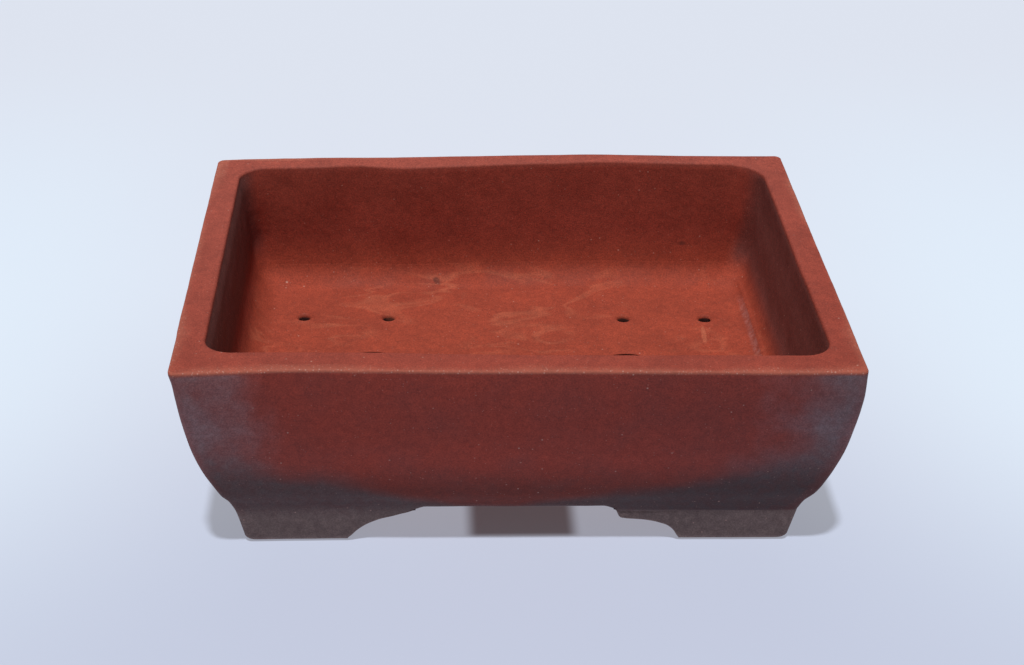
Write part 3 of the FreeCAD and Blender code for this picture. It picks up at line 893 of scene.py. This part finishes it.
class Graph:
    """Short names for building a node tree."""

    def __init__(self, tree):
        self.tree = tree

    def feed(self, socket, value):
        if isinstance(value, bpy.types.NodeSocket):
            self.tree.links.new(value, socket)
        else:
            socket.default_value = value

    def node(self, kind, inputs=None, **settings):
        """A new node with these settings, its inputs fed by name or number."""
        made = self.tree.nodes.new(kind)
        for key, value in settings.items():
            setattr(made, key, value)
        for key, value in (inputs or {}).items():
            self.feed(made.inputs[key], value)
        return made

    def axes(self, place):
        return self.node("ShaderNodeSeparateXYZ", {0: place}).outputs

    def math(self, operation, *values, clamp=False):
        inputs = dict(enumerate(values))
        return self.node("ShaderNodeMath", inputs, operation=operation, use_clamp=clamp).outputs[0]

    def vector(self, operation, a, b):
        return self.node("ShaderNodeVectorMath", {0: a, 1: b}, operation=operation).outputs

    def product(self, first, *others):
        """All the values multiplied together."""
        for other in others:
            first = self.math("MULTIPLY", first, other)
        return first

    def ramp(self, value, low, high, start=0.0, end=1.0):
        """start where the value is at low, end where it is at high, smooth between."""
        inputs = {"Value": value, "From Min": low, "From Max": high, "To Min": start, "To Max": end}
        made = self.node("ShaderNodeMapRange", inputs, interpolation_type="SMOOTHSTEP")
        return made.outputs["Result"]

    def mix(self, share, a, b, blend="MIX"):
        inputs = {"Factor": share, "A": a, "B": b}
        made = self.node("ShaderNodeMix", inputs, data_type="RGBA", blend_type=blend)
        return made.outputs["Result"]

    def noise(self, place, size, detail=2.0, roughness=0.5):
        inputs = {"Vector": place, "Scale": 1.0 / size, "Detail": detail, "Roughness": roughness}
        return self.node("ShaderNodeTexNoise", inputs).outputs["Fac"]

    def specks(self, place, spacing, radius, share):
        """Small round grains, in this share of the cells."""
        inputs = {"Vector": place, "Scale": 1.0 / spacing}
        cells = self.node("ShaderNodeTexVoronoi", inputs, feature="F1").outputs
        size = self.ramp(cells["Distance"], radius / spacing, radius * SPECK_CORE / spacing)
        parts = self.node("ShaderNodeSeparateColor", {"Color": cells["Color"]}).outputs
        chosen = self.math("LESS_THAN", parts["Red"], share)
        return self.product(size, chosen, self.ramp(parts["Green"], 0.0, 1.0, PALEST_SPECK, 1.0))

    def blot(self, place, centre, axis, length, width):
        """A soft-edged oval spot: half length along its axis, half width across it."""
        offset = self.vector("SUBTRACT", place, centre)["Vector"]
        along = self.vector("DOT_PRODUCT", offset, axis)["Value"]
        along = self.product(along, along)
        across = self.math("SUBTRACT", self.vector("DOT_PRODUCT", offset, offset)["Value"], along)
        along = self.math("DIVIDE", along, length ** 2)
        across = self.math("DIVIDE", across, width ** 2)
        return self.ramp(self.math("ADD", along, across), 1.0, BLOT_CORE)


def colour(red, green, blue):
    return (red, green, blue, 1.0)


RIM_CLAY = colour(0.297, 0.0505, 0.0310)
# Painted sheen: the rim's colour towards the back.
RIM_PAINTED_SHEEN = colour(0.338, 0.0700, 0.0475)
INNER_CLAY = colour(0.330, 0.0555, 0.0350)
FLOOR_CLAY = colour(0.322, 0.0500, 0.0245)
FACE_CLAY = colour(0.315, 0.0440, 0.0265)
FACE_CLAY_RIGHT = colour(0.262, 0.0392, 0.0262)
FACE_CLAY_LOW = colour(0.145, 0.0200, 0.0120)
# Painted shade on the inner end walls, darker on the left.
INNER_LEFT_PAINTED_SHADE = colour(0.160, 0.0540, 0.0470)
INNER_RIGHT_PAINTED_SHADE = colour(0.205, 0.0580, 0.0480)
# Painted highlight on the bead along the right-hand seam.
BEAD_HIGHLIGHT = colour(0.330, 0.1450, 0.1350)
# Painted shade inside the holes.
HOLE_SHADE = colour(0.050, 0.0120, 0.0100)
SMEAR_CLAY = colour(0.520, 0.150, 0.080)
FLASH_LEFT = colour(0.234, 0.1330, 0.1350)
FLASH_RIGHT = colour(0.190, 0.1300, 0.1390)
FLASH_DARK_LEFT = colour(0.076, 0.0465, 0.0465)
FLASH_DARK_RIGHT = colour(0.049, 0.0300, 0.0320)
FOOT_CLAY = colour(0.198, 0.1320, 0.1180)
# Painted highlight along the rim's outer edge.
EDGE_HIGHLIGHT = colour(0.560, 0.2000, 0.1300)
GROG = colour(0.620, 0.360, 0.290)
NICK = colour(0.070, 0.0200, 0.0160)
CHIP = colour(0.700, 0.5400, 0.4500)

# Small marks inside the pot, in metres: middle, direction, half length, half width, colour, strength.
MARKS = (
    ((-0.0289, 0.0737, 0.0367), (0.617, -0.535, -0.576), 0.0030, 0.0020, NICK, 0.60),
    ((0.0816, 0.0833, 0.0505), (1.0, 0.0, 0.0), 0.0022, 0.0015, NICK, 0.60),
    ((-0.0955, 0.0730, 0.0367), (1.0, 0.0, 0.0), 0.0011, 0.0011, CHIP, 0.80),
    ((0.0853, 0.0275, 0.0340), (0.05, 0.9988, 0.0), 0.0095, 0.0014, SMEAR_CLAY, 0.45),
)


# Where the looks change, in metres. A band goes from where a look starts to where it is full.
LEFT_TO_RIGHT = (-0.03, 0.09)
INSIDE_FROM_ENDS = (0.0045, 0.0060)
INSIDE_FROM_SIDES = (0.0070, 0.0084)
UNDER_RIM = (0.0868, 0.0852)
RIM_TO_BACK = (-0.11, 0.11)
RIM_SLANT = 0.25
FLOOR_LEVELS = (0.060, 0.040)
END_WALL_DEPTHS = (0.018, 0.011)
END_WALL_LOW = (0.0450, 0.0380)
END_WALL_FULL = (0.0600, 0.0500)
BEAD_STARTS = (0.0346, 0.0354)
BEAD_STOPS = (0.0374, 0.0366)
BEAD_PLACE = (0.095, 0.100)
BEAD_ENDS = (0.066, 0.045)
BEAD_HIGHLIGHT_STRENGTH = 0.45
HOLE_STARTS = (0.0335, 0.0328)
HOLE_STOPS = (0.0222, 0.0228)
FACE_LOW = (0.048, 0.027)
SMEAR_STRETCH = (0.6, 1.4, 1.4)
SMEAR_SCALE = 34.0
SMEAR_RIDGE = 0.060
SMEAR_LEVELS = (0.046, 0.036)
SMEAR_STRENGTHS = (0.40, 0.16)
FLASH_TOP = 0.070
FLASH_HEIGHT = 0.052
FLASH_RUN = 0.105
FLASH_WIDTH = 0.019
FLASH_FADE = (0.020, -0.015)
FLASH_DARK = (0.064, 0.030)
# Painted highlight: the flash thins over this band next to each corner's edge.
CORNER_HIGHLIGHT_BAND = 0.006
FOOT_TOPS = (0.0205, 0.0160)
FOOT_FULLS = (0.0100, 0.0142)
# Where the painted highlight on the rim's outer edge starts and stops.
EDGE_HIGHLIGHT_STARTS = (0.0858, 0.0866)
EDGE_HIGHLIGHT_STOPS = (0.0876, 0.0872)


def new_material(name):
    """A material with its node graph and its shader."""
    material = bpy.data.materials.new(name)
    material.use_nodes = True
    return material, Graph(material.node_tree), material.node_tree.nodes["Principled BSDF"]


class Spot:
    """Where a shaded point lies on the pot, and the noise there. Lengths are metres."""

    def __init__(self, g):
        self.where = g.node("ShaderNodeTexCoord").outputs["Object"]
        self.x, self.y, self.z = g.axes(self.where)
        self.to_right = g.ramp(self.x, *LEFT_TO_RIGHT)
        self.broad = g.noise(self.where, 0.045, 3.0)
        self.cloudy = g.noise(self.where, 0.014, 4.0)
        self.mottled = g.noise(self.where, 0.0030, 3.0, 0.6)
        self.grain = g.noise(self.where, 0.0006, 2.0, 0.7)

        # How far the point is in from the sides of the CAD's box, and behind the curved outer face.
        self.edge_x = g.math("SUBTRACT", HALF_LENGTH / MM, g.math("ABSOLUTE", self.x))
        self.edge_y = g.math("SUBTRACT", HALF_WIDTH / MM, g.math("ABSOLUTE", self.y))
        drop = g.math("SUBTRACT", ARC_LEVEL / MM, self.z)
        arc = g.math("SUBTRACT", (WALL_RADIUS / MM) ** 2, g.product(drop, drop))
        self.drawn_in = g.math("SUBTRACT", WALL_RADIUS / MM, g.math("SQRT", arc))
        self.depth_x = g.math("SUBTRACT", self.edge_x, self.drawn_in)
        depth_y = g.math("SUBTRACT", self.edge_y, self.drawn_in)
        from_ends = g.ramp(self.depth_x, *INSIDE_FROM_ENDS)
        from_sides = g.ramp(depth_y, *INSIDE_FROM_SIDES)
        self.inside = g.math("MINIMUM", from_ends, from_sides)
        self.outer = g.math("SUBTRACT", 1.0, self.inside)
        self.below_rim = g.ramp(self.z, *UNDER_RIM)


def rim_and_inside(g, spot):
    """The rim and the inside stay red and the floor is the warmest. A painted sheen makes the rim
    paler towards the back, and painted shade darkens and greys the inner end walls, the left one the
    most.
    """
    towards_back = g.math("SUBTRACT", spot.y, g.product(spot.x, RIM_SLANT))
    body = g.mix(g.ramp(towards_back, *RIM_TO_BACK), RIM_CLAY, RIM_PAINTED_SHEEN)
    body = g.mix(g.product(spot.inside, spot.below_rim), body, INNER_CLAY)
    body = g.mix(g.product(spot.inside, g.ramp(spot.z, *FLOOR_LEVELS)), body, FLOOR_CLAY)
    low = g.ramp(spot.x, *LEFT_TO_RIGHT, *END_WALL_LOW)
    full = g.ramp(spot.x, *LEFT_TO_RIGHT, *END_WALL_FULL)
    # Painted shade on the inner end walls, above their lowest part.
    end_wall_shade = g.product(g.ramp(spot.depth_x, *END_WALL_DEPTHS), g.ramp(spot.z, low, full),
                         spot.inside, spot.below_rim)
    return g.mix(end_wall_shade, body, g.mix(spot.to_right, INNER_LEFT_PAINTED_SHADE, INNER_RIGHT_PAINTED_SHADE))


def bead_highlight_and_hole_shade(g, spot, body):
    """A painted highlight along the bead on the right-hand seam, and painted shade inside the holes.
    """
    # Painted highlight along the bead, patchy with the mottling.
    bead = g.product(g.ramp(spot.z, *BEAD_STARTS), g.ramp(spot.z, *BEAD_STOPS), spot.inside,
                     g.ramp(spot.x, *BEAD_PLACE),
                     g.ramp(g.math("ABSOLUTE", spot.y), *BEAD_ENDS), BEAD_HIGHLIGHT_STRENGTH)
    bead = g.product(bead, g.ramp(spot.mottled, 0.35, 0.6, 0.3, 1.0))
    body = g.mix(bead, body, BEAD_HIGHLIGHT)
    # Painted shade inside the holes, below the floor's top.
    hole_shade = g.product(g.ramp(spot.z, *HOLE_STARTS), g.ramp(spot.z, *HOLE_STOPS), spot.inside)
    return g.mix(hole_shade, body, HOLE_SHADE)


def outer_faces(g, spot, body):
    """The outer faces are a darker red, darkest near the bottom."""
    face = g.mix(spot.to_right, FACE_CLAY, FACE_CLAY_RIGHT)
    face = g.mix(g.ramp(spot.z, *FACE_LOW), face, FACE_CLAY_LOW)
    return g.mix(g.product(spot.outer, spot.below_rim), body, face)


def smears(g, spot, body):
    """Smears that wet fingers left on the floor."""
    stretched = g.node("ShaderNodeMapping", {"Vector": spot.where, "Scale": SMEAR_STRETCH}).outputs[0]
    swirl = g.node("ShaderNodeTexNoise", {"Vector": stretched, "Scale": SMEAR_SCALE, "Detail": 2.5,
                                          "Distortion": 1.1})
    ridge = g.math("ABSOLUTE", g.math("SUBTRACT", swirl.outputs["Fac"], 0.5))
    streak = g.product(g.ramp(ridge, SMEAR_RIDGE, 0.0), g.ramp(spot.broad, 0.42, 0.60),
                       spot.inside, g.ramp(spot.z, *SMEAR_LEVELS),
                       g.ramp(spot.x, -0.09, 0.10, *SMEAR_STRENGTHS))
    return g.mix(streak, body, SMEAR_CLAY)


def small_marks(g, spot, body):
    """A tick and a nick near the back wall, a pale chip, and a drip beside a wire hole."""
    for centre, axis, length, width, tint, strength in MARKS:
        blot = g.blot(spot.where, centre, axis, length, width)
        body = g.mix(g.product(blot, strength), body, tint)
    return body


def flashing(g, spot, body):
    """Fire flashing: grey-purple near the outer corners, widening along the bottom of the walls. The
    flash thins towards each corner's edge, leaving a redder painted highlight down the corner.
    """
    low = g.math("DIVIDE", g.math("SUBTRACT", FLASH_TOP, spot.z), FLASH_HEIGHT, clamp=True)
    reach = g.math("ADD", g.product(g.math("POWER", low, 3.0), FLASH_RUN), FLASH_WIDTH)
    reach = g.math("ADD", reach, g.ramp(spot.x, -0.1, 0.1, -0.003, 0.003))
    reach = g.math("ADD", reach, g.ramp(spot.broad, 0.2, 0.8, -0.012, 0.012))
    reach = g.math("ADD", reach, g.ramp(spot.cloudy, 0.2, 0.8, -0.008, 0.008))
    from_corner = g.math("MAXIMUM", spot.edge_x, spot.edge_y)
    # Near each corner's edge the flash thins: a redder painted highlight down the corner.
    from_corner_edge = g.math("SUBTRACT", from_corner, spot.drawn_in)
    flash = g.product(g.ramp(g.math("SUBTRACT", from_corner, reach), *FLASH_FADE),
                      spot.outer, spot.below_rim, g.ramp(spot.mottled, 0.2, 0.8, 0.76, 1.0),
                      g.ramp(from_corner_edge, 0.0, CORNER_HIGHLIGHT_BAND, 0.72, 1.0))
    pale = g.mix(spot.to_right, FLASH_LEFT, FLASH_RIGHT)
    dark = g.mix(spot.to_right, FLASH_DARK_LEFT, FLASH_DARK_RIGHT)
    return g.mix(flash, body, g.mix(g.ramp(spot.z, *FLASH_DARK), pale, dark))


def foot_faces(g, spot, body):
    """The feet are a dull grey-brown up to the crease."""
    top = g.ramp(spot.x, *LEFT_TO_RIGHT, *FOOT_TOPS)
    full = g.ramp(spot.x, *LEFT_TO_RIGHT, *FOOT_FULLS)
    face = g.product(g.ramp(spot.z, top, full), g.ramp(spot.mottled, 0.2, 0.8, 0.80, 1.0))
    return g.mix(face, body, FOOT_CLAY)


def uneven_tone(g, spot, body):
    """Light and dark at three sizes: clouds, mottling and grain."""
    for noise, low, high, dark, light in (
            (spot.cloudy, 0.3, 0.7, colour(0.92, 0.91, 0.91), colour(1.08, 1.09, 1.09)),
            (spot.mottled, 0.25, 0.75, colour(0.90, 0.89, 0.90), colour(1.10, 1.11, 1.10)),
            (spot.grain, 0.3, 0.7, colour(0.78, 0.78, 0.80), colour(1.22, 1.20, 1.18))):
        body = g.mix(1.0, body, g.mix(g.ramp(noise, low, high), dark, light), "MULTIPLY")
    return body


def clay(name):
    """Unglazed stoneware: red-brown, flashed grey at corners and lower walls, pale grog specks."""
    material, g, shader = new_material(name)
    spot = Spot(g)
    body = rim_and_inside(g, spot)
    for layer in (bead_highlight_and_hole_shade, outer_faces, smears, small_marks, flashing, foot_faces, uneven_tone):
        body = layer(g, spot, body)

    # A painted highlight runs along the rim's outer edge: a paler band, thick with pale specks.
    edge_highlight = g.product(g.ramp(spot.z, *EDGE_HIGHLIGHT_STARTS), g.ramp(spot.z, *EDGE_HIGHLIGHT_STOPS), spot.outer)
    coarse = g.specks(spot.where, 0.0040, 0.00045, 0.40)
    fine = g.specks(spot.where, 0.0015, 0.00028, 0.40)
    dense = g.specks(spot.where, 0.0011, 0.00040, 0.75)
    specks = g.math("MAXIMUM", coarse, g.product(fine, 0.50))
    specks = g.math("MAXIMUM", specks, g.product(dense, edge_highlight))
    body = g.mix(g.product(edge_highlight, 0.32), body, EDGE_HIGHLIGHT)
    body = g.mix(g.product(specks, 0.55), body, GROG)
    g.feed(shader.inputs["Base Color"], body)
    g.feed(shader.inputs["Roughness"], g.ramp(spot.cloudy, 0.3, 0.7, 0.74, 0.86))
    shader.inputs["Specular IOR Level"].default_value = 0.35

    relief = g.math("ADD", g.product(spot.mottled, 0.8), g.product(spot.grain, 0.35))
    relief = g.math("ADD", relief, g.product(specks, 0.25))
    bump = g.node("ShaderNodeBump", {"Height": relief, "Strength": 0.5, "Distance": 0.0003})
    g.feed(shader.inputs["Normal"], bump.outputs["Normal"])
    return material


# ------------ assembly

materials = {"red_clay": clay("red_clay"), "flashed_clay": clay("flashed_clay")}


def finish_piece(piece, node, slot):
    """Gives a piece its material, attaches it to the root body and hides the CAD node that it stands
    for.
    """
    piece.data.materials.append(materials[slot])
    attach(piece, "root")
    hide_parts(node)


finish_piece(floor_slab(), "floor_slab", "red_clay")
for side_index, side_name in enumerate(SIDES):
    finish_piece(wall(side_index), side_name + "_wall", "flashed_clay")
    finish_piece(rim(side_index), side_name + "_rim", "red_clay")
    finish_piece(floor_seam_coil(side_index), side_name + "_floor_seam_coil", "red_clay")
for corner_index, corner_name in enumerate(CORNERS):
    finish_piece(corner_coil(corner_index), corner_name + "_corner_coil", "red_clay")
    finish_piece(foot(corner_index), corner_name + "_foot", "flashed_clay")

# ------------ floor, light and colour

FLOOR_SIZE = 6.0
# The sheet's glow is painted light; the patch colour is a painted shadow under the pot.
GLOW_NEAR = colour(0.285, 0.295, 0.355)
GLOW_MIDDLE = colour(0.455, 0.47, 0.50)
GLOW_FAR = colour(0.455, 0.465, 0.480)
GLOW_SIDE_PAINTED_LIGHT = colour(0.48, 0.54, 0.57)
GLOW_PAINTED_SHADOW = colour(0.072, 0.062, 0.068)
SHEET_COLOUR = colour(0.27, 0.29, 0.36)
SHEET_ROUGHNESS = 0.7

# Bands over which the glow's painted light changes, in metres from the middle, and the painted shadow
# patch under the pot.
NEAR_TO_MIDDLE = (-0.13, 0.16)
MIDDLE_TO_FAR = (0.10, 0.45)
BESIDE_POT = (0.08, 0.26)
BESIDE_STARTS = (-0.24, 0.06)
BESIDE_STOPS = (0.50, 0.10)
PATCH_MIDDLE = 0.0035
PATCH_LENGTHS = (0.024, 0.017)
PATCH_WIDTHS = (0.0745, 0.0700)


def add_ground():
    """A wide pale sheet that glows a little, as a lit sweep does. The glow is painted light that lifts
    the sheet's shadows and is brighter beside the pot, with a painted shadow under the middle of the
    pot. Returns the sheet.
    """
    half = FLOOR_SIZE / 2.0
    corners = [(-half, -half, 0.0), (half, -half, 0.0), (half, half, 0.0), (-half, half, 0.0)]
    mesh = bpy.data.meshes.new("ground")
    mesh.from_pydata(corners, [], [(0, 1, 2, 3)])
    ground = new_object("ground", mesh)
    material, g, shader = new_material("ground_sheet")
    shader.inputs["Base Color"].default_value = SHEET_COLOUR
    shader.inputs["Roughness"].default_value = SHEET_ROUGHNESS
    shader.inputs["Emission Strength"].default_value = 1.0
    x, y = g.axes(g.node("ShaderNodeTexCoord").outputs["Object"])[:2]
    off_middle = g.math("ABSOLUTE", g.math("SUBTRACT", x, PATCH_MIDDLE))
    glow = g.mix(g.ramp(y, *NEAR_TO_MIDDLE), GLOW_NEAR, GLOW_MIDDLE)
    glow = g.mix(g.ramp(y, *MIDDLE_TO_FAR), glow, GLOW_FAR)
    # Painted light beside the pot, where its shadows fall.
    painted_light_beside = g.product(g.ramp(g.math("ABSOLUTE", x), *BESIDE_POT), g.ramp(y, *BESIDE_STARTS),
                       g.ramp(y, *BESIDE_STOPS))
    glow = g.mix(painted_light_beside, glow, GLOW_SIDE_PAINTED_LIGHT)
    # Painted shadow under the middle of the pot.
    painted_shadow = g.product(g.ramp(off_middle, *PATCH_LENGTHS),
                      g.ramp(g.math("ABSOLUTE", y), *PATCH_WIDTHS))
    glow = g.mix(painted_shadow, glow, GLOW_PAINTED_SHADOW)
    g.feed(shader.inputs["Emission Color"], glow)
    mesh.materials.append(material)
    return ground


def add_sun(name, strength, tint, away, tilt, lit):
    """A sun lamp that leans off the vertical by tilt, towards away, and lights the lit things only.

    Both angles are degrees.
    """
    data = bpy.data.lights.new(name, "SUN")
    data.energy = strength
    data.color = tint
    data.angle = math.radians(SUN_SPREAD)
    lamp = new_object(name, data)
    away = math.radians(away)
    tilt = math.radians(tilt)
    source = Vector((math.sin(tilt) * math.cos(away), math.sin(tilt) * math.sin(away), math.cos(tilt)))
    lamp.rotation_euler = source.to_track_quat("Z", "Y").to_euler()
    lamp.light_linking.receiver_collection = lit


def lit_things(name, things):
    """A collection of the things that one lamp lights."""
    collection = bpy.data.collections.new(name)
    for thing in things:
        collection.objects.link(thing)
    return collection


def add_world():
    """An even, pale blue light from all around."""
    world = bpy.data.worlds.new("studio")
    world.use_nodes = True
    background = world.node_tree.nodes["Background"]
    background.inputs["Color"].default_value = SKY_COLOUR
    background.inputs["Strength"].default_value = SKY_STRENGTH
    bpy.context.scene.world = world


SUN_SPREAD = 3.0
SKY_COLOUR = colour(0.86, 0.92, 1.0)
SKY_STRENGTH = 0.13

sheet = add_ground()
pot_only = lit_things("pot_only", [item for item in bpy.data.objects if item.name.endswith("_clay")])
ground_only = lit_things("ground_only", [sheet])
add_sun("key", 2.85, (1.0, 0.99, 0.97), -125.0, 8.6, pot_only)
add_sun("ground_key", 3.0, (1.0, 1.05, 1.08), -98.0, 22.0, ground_only)
add_world()
bpy.context.scene.view_settings.view_transform = "Standard"
